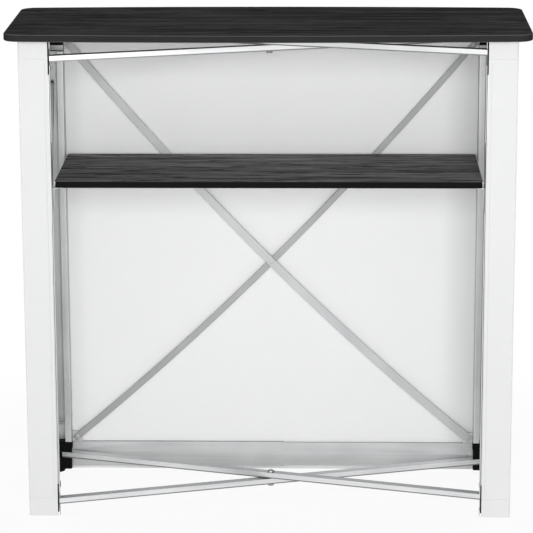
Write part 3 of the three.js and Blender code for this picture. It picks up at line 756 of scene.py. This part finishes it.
def front_strip(side, upper_bolt, lower_bolt):
    node = f"front_bar_from_{side}"
    low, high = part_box(node)
    start = middle_of(upper_bolt)
    run = middle_of(lower_bolt) - start
    wide = STRIP_WIDE[side]
    slope = -math.atan2(run.z, run.x)
    half = Vector((math.hypot(run.x, run.z) / 2 + STRIP_END, (high.y - low.y) / 2, wide / 2))
    piece = cube_between(-half, half)
    pick_edges(piece, lambda along, middle: abs(along.y) > MOSTLY)
    bpy.ops.mesh.bevel(offset=STRIP_CORNER, segments=3, affect="EDGES")
    pick_edges(piece, lambda along, middle: abs(along.x) > STRAIGHT and abs(middle.x) < wide)
    bpy.ops.mesh.subdivide(number_cuts=STRIP_CUTS)
    bpy.ops.object.mode_set(mode="OBJECT")
    ease(piece, FINE_EASE, sharper_than=BOARD_SHARP)
    piece.rotation_euler.y = slope
    piece.location = (start.x + run.x / 2, (low.y + high.y) / 2, start.z + run.z / 2)
    settle(piece)
    for vertex in piece.data.vertices:
        share = min(max((vertex.co.x - start.x) / run.x, 0), 1)
        vertex.co.z -= 4 * STRIP_DROOP * share * (1 - share)
    metal = brushed(f"strip_aluminium_{side}", "bar_aluminium", STRIP_SHADE[side], STRIP_ROUGH,
                    turn=(0, slope, 0))
    name_piece(piece, f"front_strip_from_{side}", metal, smooth=20)
    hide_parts(node)
    return stretch_with_slide(piece)


strips = [
    front_strip("left", "top_bolt_front_left", "bottom_bolt_front_right"),
    front_strip("right", "top_bolt_front_right", "bottom_bolt_front_left"),
]
print("front strips:", [len(strip.data.polygons) for strip in strips], "faces")

# %% [markdown]
# ## Turning on a lathe
# Bolts, rivets and foot pads are round, so each is a profile spun about its axis, as on a lathe. A profile is
# a list of radius and distance along the axis, in millimetres, and the frame says where the axis is and how
# long the piece is.

# %% Turned pieces
SPIN_STEPS = 40
MERGE = 0.005 * MM
X, Y, Z = (Vector(axis) for axis in ((1, 0, 0), (0, 1, 0), (0, 0, 1)))
SPIN_AXES = {"x": (X, Y), "y": (Y, Z), "z": (Z, X)}


def turned(name, finish, axis, foot, profile):
    """Spins a profile of (radius, distance) in millimetres about an axis that starts at foot."""
    along, aside = SPIN_AXES[axis]
    points = [foot + aside * radius * MM + along * distance * MM for radius, distance in profile]
    mesh = bpy.data.meshes.new(name)
    mesh.from_pydata(points, [(i, i + 1) for i in range(len(points) - 1)], [])
    piece = bpy.data.objects.new(name, mesh)
    scene.collection.objects.link(piece)
    pick(piece)
    bpy.ops.object.mode_set(mode="EDIT")
    bpy.ops.mesh.select_all(action="SELECT")
    bpy.ops.mesh.spin(steps=SPIN_STEPS, angle=2 * math.pi, center=foot, axis=along)
    bpy.ops.mesh.select_all(action="SELECT")
    bpy.ops.mesh.remove_doubles(threshold=MERGE)
    bpy.ops.mesh.normals_make_consistent(inside=False)
    bpy.ops.object.mode_set(mode="OBJECT")
    return name_piece(piece, name, finish, smooth=35)


def foot_of(node, axis):
    """Where a node's axis starts, and how long the node is along it, in millimetres."""
    low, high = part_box(node)
    along = SPIN_AXES[axis][0]
    long = (high - low).dot(along)
    return (low + high) / 2 - along * long / 2, long / MM


def through_bolt(long, head, shank, near, far):
    """The profile of a bolt or rivet: a domed near head with a socket, a shank and a flat far head.

    The length and the heights of the heads, and the radius of head and shank, are in millimetres.
    """
    socket = [(0, near * 0.3), (head * 0.28, near * 0.3), (head * 0.28, near * 0.02)]
    dome = [(head * 0.6, 0), (head * 0.87, near * 0.2), (head, near * 0.55), (head, near)]
    far_head = [(head, long - far), (head, long - far * 0.3), (head * 0.9, long), (0, long)]
    return [*socket, *dome, (shank, near), (shank, long - far), *far_head]


print("points in the profile of a bolt:", len(through_bolt(long=10, head=5, shank=3, near=3, far=1.5)))

# %% [markdown]
# ## Bolts and rivets of the crosses
# The front strips are held by a bolt at each end and by a rivet where they cross. All five have low heads and
# the colour of the strips. The side crosses have a zinc-plated rivet each, with a head on both sides.

# %% Bolts and rivets of the crosses
RIVET_SHANK = 3
RIVET_HEAD = 5
RIVET_NEAR = 3
RIVET_FAR = 1.5
RIVET_LOW = 2.2
SIDE_RIVET_HEAD = 6.5
SIDE_RIVET_TALL = 2.2
RIVET_METAL = brushed("rivet_aluminium", "steel", STRIP_SHADE["left"], STRIP_ROUGH, SPECKLED)


def strip_rivet(node):
    """A bolt or rivet of the front strips. Its near head is RIVET_LOW millimetres lower than the node's."""
    foot, long = foot_of(node, "y")
    profile = through_bolt(long - RIVET_LOW, RIVET_HEAD, RIVET_SHANK, RIVET_NEAR - RIVET_LOW, RIVET_FAR)
    rivet = turned(f"{node}_turned", RIVET_METAL, "y", foot + Y * RIVET_LOW * MM, profile)
    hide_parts(node)
    return rivet


end_bolts = [f"{end}_bolt_front_{side}" for end in ("top", "bottom") for side in SIDES]
for node in end_bolts:
    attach(strip_rivet(node), BODY_OF[node])
stretch_with_slide(strip_rivet("front_rivet"))
for side in SIDES:
    node = f"side_rivet_{side}"
    foot, long = foot_of(node, "x")
    profile = through_bolt(long, SIDE_RIVET_HEAD, RIVET_SHANK, SIDE_RIVET_TALL, SIDE_RIVET_TALL)
    stand_in(turned(f"{node}_turned", STEEL, "x", foot, profile), node, BODY_OF[node])
print("bolts:", len(end_bolts), "and rivets:", 1 + len(SIDES))

# %% [markdown]
# ## Foot pads
# Each hub stands on a rubber pad with a rounded foot and a thin stem that goes up into the hub.

# %% Foot pads
PAD_RIM = 14.5
PAD_TALL = 8.7
PAD_STEM = 4
PAD_ROUND = [(PAD_RIM - 5, 0), (PAD_RIM - 3.2, 0.4), (PAD_RIM - 1.2, 1.6), (PAD_RIM, 4)]
PAD_TOP = [(PAD_RIM, PAD_TALL - 0.8), (PAD_RIM - 0.8, PAD_TALL), (PAD_STEM, PAD_TALL)]

for corner in CORNERS:
    node = f"foot_pad_{corner}"
    foot, long = foot_of(node, "z")
    profile = [(0, 0), *PAD_ROUND, *PAD_TOP, (PAD_STEM, long), (0, long)]
    stand_in(turned(f"{node}_turned", RUBBER, "z", foot, profile), node, BODY_OF[node])
print("foot pads:", len(CORNERS))

# %% [markdown]
# ## Centre bolts of the scissors
# Where the two scissor bars cross, a bolt goes down through both, with a low round head on top and a hexagon
# nut below. The head and shank are turned, the nut is a six-sided cylinder with eased edges, and the two
# are joined.

# %% Centre bolts
NUT_TALL = 5 * MM
NUT_RADIUS = 8 * MM
NUT_SIDES = 6
NUT_EASE = 0.6 * MM
BOLT_SHANK = 4
BOLT_START = 0.6
BOLT_HEAD = 4
BOLT_RIM = [(8, 0), (8, 1.8), (7.2, 3.2), (5, 4), (2.2, 4), (2.2, 2.4), (0, 2.4)]


def centre_bolt(node):
    foot, long = foot_of(node, "z")
    neck = long - BOLT_HEAD
    head = [(radius, neck + rise) for radius, rise in BOLT_RIM]
    profile = [(0, BOLT_START), (BOLT_SHANK, BOLT_START), (BOLT_SHANK, neck), *head]
    bolt = turned(f"{node}_turned", STEEL, "z", foot, profile)
    clear_selection()
    bpy.ops.mesh.primitive_cylinder_add(vertices=NUT_SIDES, radius=NUT_RADIUS, depth=NUT_TALL,
                                        location=foot + Z * NUT_TALL / 2)
    nut = ease(settle(bpy.context.object), NUT_EASE)
    pick(bolt)
    nut.select_set(True)
    bpy.ops.object.join()
    name_piece(bolt, f"{node}_turned", STEEL, smooth=30)
    return stand_in(bolt, node, BODY_OF[node])


centre_bolts = [centre_bolt(f"{end}_centre_bolt") for end in ("bottom", "top")]
print("centre bolts:", len(centre_bolts))

# %% [markdown]
# ## Collars and screws on the hubs
# Each hub has a raised collar beside the leg, on the two faces that look into the frame, and one screw in it
# that clamps the leg. The collar is a block with eased edges sunk into the hub so that only its two faces
# stand proud, and the screw is turned.

# %% Hub collars
COLLAR_TALL = 13 * MM
COLLAR_PROUD = 1.2 * MM
COLLAR_DEEP = 18 * MM
COLLAR_INSET = 2.5 * MM
COLLAR_EASE = 0.8 * MM
# The head collars are painted darker, as painted shade under the top.
COLLAR_FINISH = {"foot": BLACK_PLASTIC, "head": SHADED_LEG_METAL}
SCREW = [(0, 0.5), (1.3, 0.5), (1.3, 1.5), (2.4, 1.45), (3.1, 0.9), (3.3, 0), (3.3, -1.5), (0, -1.5)]


def hub_collar(hub, corner):
    leg_low, leg_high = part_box(f"leg_{corner}")
    inward = COLLAR_PROUD if corner.endswith("left") else -COLLAR_PROUD
    front = corner.startswith("front")
    inside = leg_low.y - COLLAR_PROUD if front else leg_high.y + COLLAR_PROUD
    deep = inside + COLLAR_DEEP if front else inside - COLLAR_DEEP
    base = leg_low.z - COLLAR_INSET - COLLAR_TALL if hub == "foot" else leg_high.z + COLLAR_INSET
    low = (leg_low.x + inward, min(inside, deep), base)
    high = (leg_high.x + inward, max(inside, deep), base + COLLAR_TALL)
    collar = ease(cube_between(low, high), COLLAR_EASE, steps=3)
    name_piece(collar, f"{hub}_collar_{corner}", COLLAR_FINISH[hub])
    place = Vector(((leg_low.x + leg_high.x) / 2, inside, base + COLLAR_TALL / 2))
    profile = [(radius, -rise if front else rise) for radius, rise in SCREW]
    screw = turned(f"{hub}_screw_{corner}", STEEL, "y", place, profile)
    return [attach(piece, corner) for piece in (collar, screw)]


collars = [hub_collar(hub, corner) for corner in CORNERS for hub in ("foot", "head")]
print("hub collars with a screw:", len(collars))

# %% [markdown]
# ## The cover
# The cover is sewn from a front panel, two side panels and two strips that go round the rear legs. Each panel
# is a grid stood upright, with a slight billow between the things that hold it, and then given a cloth's
# thickness. The panels are held taut between the legs, with no loose cloth to drape, so the billow is a
# formula and not a simulation.

# %% Cloth panels
CLOTH_THICK = 1.2 * MM
COVER_DROP = 3.5 * MM
UPRIGHT_TURN = {"x": (math.pi / 2, 0, 0), "y": (math.pi / 2, 0, math.pi / 2)}


def sheet_corners(node, run):
    """The corners of a panel's middle surface, from the node that it stands for. The cloth hangs lower."""
    low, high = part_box(node)
    low.z -= COVER_DROP
    if run == "x":
        low.y = high.y = (low.y + high.y) / 2
    else:
        low.x = high.x = (low.x + high.x) / 2
    return low, high


def panel(name, run, low, high, cells, thick, billow=None, finish=CLOTH):
    """An upright sheet between two corners, along X or along Y."""
    clear_selection()
    across, upward = cells
    bpy.ops.mesh.primitive_grid_add(x_subdivisions=across, y_subdivisions=upward, size=1)
    piece = bpy.context.object
    size = high - low
    piece.scale = (size.x if run == "x" else size.y, size.z, 1)
    piece.rotation_euler = UPRIGHT_TURN[run]
    piece.location = (low + high) / 2
    settle(piece)
    if billow:
        for vertex in piece.data.vertices:
            share = (vertex.co.x - low.x) / size.x if run == "x" else (vertex.co.y - low.y) / size.y
            rise = (vertex.co.z - low.z) / size.z
            vertex.co += billow(share, rise)
    modify(piece, "SOLIDIFY", thickness=thick, offset=0)
    return name_piece(piece, name, finish, smooth=60)


print("cloth:", CLOTH_THICK / MM, "mm thick,", COVER_DROP / MM, "mm lower than the frame's panels")

# %% [markdown]
# ## Hems and stitches
# A hem is a second, thicker layer along an edge, sewn with a row of stitches. A stitch is a short eased block
# that goes right through the cloth, and an Array modifier repeats it along the row.

# %% Hems and stitches
HEM_TALL = 22 * MM
WRAP_HEM = 46 * MM
HEM_THICK = 2.2 * MM
HEM_CELLS = {"x": (48, 2), "y": (24, 2)}
STITCH_LONG = 3.4 * MM
STITCH_PITCH = 5 * MM
STITCH_THICK = 0.8 * MM
STITCH_DEEP = 2.9 * MM
STITCH_IN = 4.4 * MM
STITCH_EASE = 0.25 * MM


def stitches(name, run, start, end):
    """A row of stitches from start to end, in a sheet along X or Y, that shows on both of its faces."""
    along = (end - start).normalized()
    depth = Y if run == "x" else X
    side = along.cross(depth)
    half = along * STITCH_LONG / 2 + depth * STITCH_DEEP / 2 + side * STITCH_THICK / 2
    half = Vector([abs(v) for v in half])
    first = start + along * STITCH_PITCH / 2
    piece = ease(cube_between(first - half, first + half), STITCH_EASE, steps=1)
    count = int((end - start).length / STITCH_PITCH)
    modify(piece, "ARRAY", count=count, use_relative_offset=False, use_constant_offset=True,
           constant_offset_displace=along * STITCH_PITCH)
    return name_piece(piece, name, THREAD_FINISH)


def hem_between(name, run, low, high, line, finish):
    """A doubled hem between two corners of a panel, and its row of stitches at the height of line."""
    hem = panel(f"{name}_hem", run, low, high, HEM_CELLS[run], HEM_THICK, finish=finish)
    start = Vector((low.x, low.y, line))
    end = Vector((high.x, high.y, line))
    return [hem, stitches(f"{name}_stitches", run, start, end)]


def bottom_hem(name, run, low, high, finish=CLOTH, tall=HEM_TALL):
    upper = Vector((high.x, high.y, low.z + tall))
    return hem_between(name, run, low, upper, upper.z - STITCH_IN, finish)


def top_hem(name, run, low, high, finish, tall):
    lower = Vector((low.x, low.y, high.z - tall))
    return hem_between(f"{name}_top", run, lower, high, lower.z + STITCH_IN, finish)


print("stitches in a metre:", int(1 / STITCH_PITCH))

# %% [markdown]
# ## The front panel
# The front panel bellies out a little towards the customers, with faint upright ripples, and with creases
# that fan out from its corners, where it is pulled tight. Like the strips, it keeps its place in its mesh and
# is tied to neither front corner.

# %% Front cover
FRONT_CELLS = (108, 96)
FRONT_BILLOW = 2.5 * MM
FRONT_RIPPLE = 1.6 * MM
FRONT_WAVES = 9
FRONT_SKEW = 2
PULL_DEEP = 1.6 * MM
PULL_REACH = 0.17
PULL_FOLDS = 6
PULL_CLEAR = 0.08


def corner_pulls(share, rise, shape):
    """How far the creases from each corner stand out, on a panel with this ratio of width to height."""
    total = 0
    for corner_share in (0, 1):
        for corner_rise in (0, 1):
            along = abs(share - corner_share) * shape
            up = abs(rise - corner_rise)
            reach = math.hypot(along, up) / PULL_REACH
            fold = math.sin(PULL_FOLDS * math.atan2(up, along)) ** 2
            total += fold * reach ** 2 * math.exp(2 - 2 * reach)
    above_hem = min(rise / PULL_CLEAR, 1) ** 2
    return PULL_DEEP * total * above_hem


def front_billow(share, rise):
    hold = math.sin(math.pi * share) * math.sin(math.pi * rise)
    wave = math.sin(FRONT_WAVES * math.pi * share + FRONT_SKEW * rise)
    ripple = wave * math.sin(math.pi * share) * (1 - rise) * rise * 4
    return Vector((0, FRONT_BILLOW * hold + FRONT_RIPPLE * ripple + corner_pulls(share, rise, 1), 0))


low, high = sheet_corners("cover_front", "x")
front_cover = panel("cover_front_cloth", "x", low, high, FRONT_CELLS, CLOTH_THICK, front_billow)
front_hem = bottom_hem("cover_front", "x", low, high)
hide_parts("cover_front")
for piece in (front_cover, *front_hem):
    stretch_with_slide(piece)
print("front cover:", round(high.x - low.x, 3), "by", round(high.z - low.z, 3), "m")

# %% [markdown]
# ## Side panels
# When the real bar folds, the rear legs come forward and the side panels crumple between the legs, which
# isn't modelled here. Each side panel rides on its front corner, with a mesh of its own. A rounded seam along
# each corner joins the panels, and rides on the leg behind it.

# %% Side covers and corner seams
SIDE_CELLS = (40, 96)
SIDE_RIPPLE = 1.8 * MM
SIDE_WAVES = 7
SIDE_SKEW = 3
SIDE_SHAPE = 0.32
SEAM_RADIUS = 1.5 * MM
SEAM_SIDES = 12
OUTWARD = {"left": -1, "right": 1}


def side_billow(side):
    def billow(share, rise):
        hold = math.sin(math.pi * share) ** 2 * math.sin(math.pi * rise)
        ripple = SIDE_RIPPLE * hold * (1 + math.sin(SIDE_WAVES * rise + SIDE_SKEW * share))
        return Vector((OUTWARD[side] * (ripple + corner_pulls(share, rise, SIDE_SHAPE)), 0, 0))
    return billow


def corner_seam(corner, x, y, low_z, high_z):
    """The rounded, sewn edge where two panels meet."""
    clear_selection()
    tall = high_z - low_z
    place = (x, y, (low_z + high_z) / 2)
    bpy.ops.mesh.primitive_cylinder_add(vertices=SEAM_SIDES, radius=SEAM_RADIUS, depth=tall, location=place)
    piece = ease(settle(bpy.context.object), FINE_EASE, sharper_than=BOARD_SHARP)
    name_piece(piece, f"cover_seam_{corner}", STRIP_CLOTH, smooth=60)
    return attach(piece, corner)


def side_cover(side):
    node = f"cover_side_{side}"
    low, high = sheet_corners(node, "y")
    cover = panel(f"{node}_cloth", "y", low, high, SIDE_CELLS, CLOTH_THICK, side_billow(side))
    hem = bottom_hem(node, "y", low, high)
    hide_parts(node)
    for piece in (cover, *hem):
        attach(piece, f"front_{side}")
        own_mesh(piece)
    corner_seam(f"front_{side}", low.x, high.y - SEAM_RADIUS / 2, low.z, high.z)
    corner_seam(f"rear_{side}", low.x, low.y + SEAM_RADIUS / 2, low.z, high.z)
    return cover


side_covers = [side_cover(side) for side in SIDES]
print("side covers:", len(side_covers), "with", len(side_covers[0].data.polygons), "faces each")

# %% [markdown]
# ## Strips on the rear legs
# A narrow strip covers each rear leg, with a tall hem at its top and bottom and a row of stitches along its
# inner edge. It turns round that edge in a narrow flap, which is open where the scissor bars and the shelf
# pass. All of it rides on the leg.

# %% Rear strips
WRAP_CELLS = (10, 60)
FLAP_CELLS = (4, 24)
EDGE_STITCH_IN = 7 * MM
FLAP_DEEP = 14 * MM
FLAP_GAP = 0.9 * MM
FLAP_ROOM = 5 * MM
FLAP_SHELF_ROOM = 85 * MM


def flap_spans(low, high):
    """The heights between which the flap on a rear leg runs: it is open at the bars and the shelf."""
    bracket_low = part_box("shelf_bracket_rear_left")[0].z
    openings = [(bracket_low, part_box("shelf_board")[1].z + FLAP_SHELF_ROOM)]
    for end in ("bottom", "top"):
        openings.append((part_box(f"{end}_bar_lower")[0].z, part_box(f"{end}_bar_upper")[1].z))
    spans = []
    start = low
    for opening_low, opening_high in sorted(openings):
        spans.append((start, opening_low - FLAP_ROOM))
        start = opening_high + FLAP_ROOM
    return spans + [(start, high)]


def flaps(side, low, high):
    leg_low, leg_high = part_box(f"leg_rear_{side}")
    x = (leg_high.x if side == "left" else leg_low.x) - OUTWARD[side] * FLAP_GAP
    pieces = []
    for number, (flap_low, flap_high) in enumerate(flap_spans(low.z, high.z)):
        near = Vector((x, low.y, flap_low))
        far = Vector((x, low.y + FLAP_DEEP, flap_high))
        name = f"cover_wrap_rear_{side}_flap_{number}"
        pieces.append(panel(name, "y", near, far, FLAP_CELLS, CLOTH_THICK, finish=STRIP_CLOTH))
    return pieces


def rear_strip(side):
    node = f"cover_wrap_rear_{side}"
    low, high = sheet_corners(node, "x")
    wrap = panel(f"{node}_cloth", "x", low, high, WRAP_CELLS, CLOTH_THICK, finish=STRIP_CLOTH)
    sewn = bottom_hem(node, "x", low, high, STRIP_CLOTH, WRAP_HEM)
    sewn += top_hem(node, "x", low, high, STRIP_CLOTH, WRAP_HEM)
    edge = (high.x if side == "left" else low.x) + OUTWARD[side] * EDGE_STITCH_IN
    start = Vector((edge, low.y, low.z + WRAP_HEM))
    end = Vector((edge, low.y, high.z - WRAP_HEM))
    sewn.append(stitches(f"{node}_edge_stitches", "x", start, end))
    sewn += flaps(side, low, high)
    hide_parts(node)
    for piece in (wrap, *sewn):
        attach(piece, f"rear_{side}")
    return sewn


rear_strips = [rear_strip(side) for side in SIDES]
print("pieces sewn to each rear strip:", [len(sewn) for sewn in rear_strips])

# %% [markdown]
# ## Floor and backdrop
# The photograph has a pure white ground with a soft shadow under the bar. A large white floor takes the
# shadow near the bar, and fades to plain white further out, for the camera and for reflections. The world
# is white for them too, and lights the bar evenly at a lower level.

# %% Floor and world
FLOOR_SIZE = 40
FLOOR_COLOUR = (0.95, 0.95, 0.95, 1)
PURE_WHITE = (1, 1, 1, 1)
FADE_FROM = 0.9
FADE_TO = 1.7
FLOOR_WHITE = 0.92
WORLD_LEVEL = 0.26


def white_ray(web):
    """1 for rays from the camera and for reflections, and 0 for light that falls on the bar."""
    seen, mirrored, passed = (web.add("ShaderNodeLightPath", output=f"Is {kind} Ray")
                              for kind in ("Camera", "Glossy", "Transmission"))
    return seen.or_more(mirrored.or_more(passed))


clear_selection()
bpy.ops.mesh.primitive_plane_add(size=FLOOR_SIZE)
floor = bpy.context.object
floor.name = "studio_floor"
ground = Finish("studio_floor_white")
ground.set(Base_Color=FLOOR_COLOUR, Roughness=0.9, Specular_IOR_Level=0.0)
x, y = ground.axes()[:2]
distance = (x * x + y * y * 2).root()
whiteness = FLOOR_WHITE + (1 - FLOOR_WHITE) * distance.between(FADE_FROM, FADE_TO)
white = ground.add("ShaderNodeEmission", sockets={"Color": PURE_WHITE, "Strength": 1.0})
shaded = Value(ground, ground.surface.outputs[0])
mixed = ground.add("ShaderNodeMixShader", sockets={0: whiteness * white_ray(ground), 1: shaded, 2: white})
ground.plug(ground.tree.nodes["Material Output"], {"Surface": mixed})
floor.data.materials.append(ground.material)

scene.world = bpy.data.worlds.new("white_studio")
scene.world.use_nodes = True
sky = Web(scene.world.node_tree)
brightness = WORLD_LEVEL + (1 - WORLD_LEVEL) * white_ray(sky)
sky.plug(sky.tree.nodes["Background"], {"Color": PURE_WHITE, "Strength": brightness})
print("stage:", floor.name, "and", scene.world.name)

# %% [markdown]
# ## Lamps
# A large lamp by the camera lights the inside of the bar, and two more behind the bar light the outer face
# of the cover. All three are soft area lamps that face the middle of the bar.

# %% Lamps
LAMP_SIZE = 3.0
LAMP_AIM = Vector((0, 0, 0.5))
KEY_PLACE = Vector((0.3, -6.0, 1.7))
KEY_ENERGY = 258
BACK_PLACE = Vector((4.6, 3.6, 2.4))
BACK_ENERGY = 118


def lamp(name, place, energy):
    bpy.ops.object.light_add(type="AREA", location=place)
    light = bpy.context.object
    light.name = name
    light.data.size = LAMP_SIZE
    light.data.energy = energy
    light.rotation_euler = (LAMP_AIM - place).to_track_quat("-Z", "Y").to_euler()
    return light


lamps = [lamp("key_light", KEY_PLACE, KEY_ENERGY)]
for side in SIDES:
    place = Vector((OUTWARD[side] * BACK_PLACE.x, BACK_PLACE.y, BACK_PLACE.z))
    lamps.append(lamp(f"{side}_back_light", place, BACK_ENERGY))
print("lamps:", [light.name for light in lamps])

# %% [markdown]
# ## Size
# The dressed bar has to stay the size of the frame.
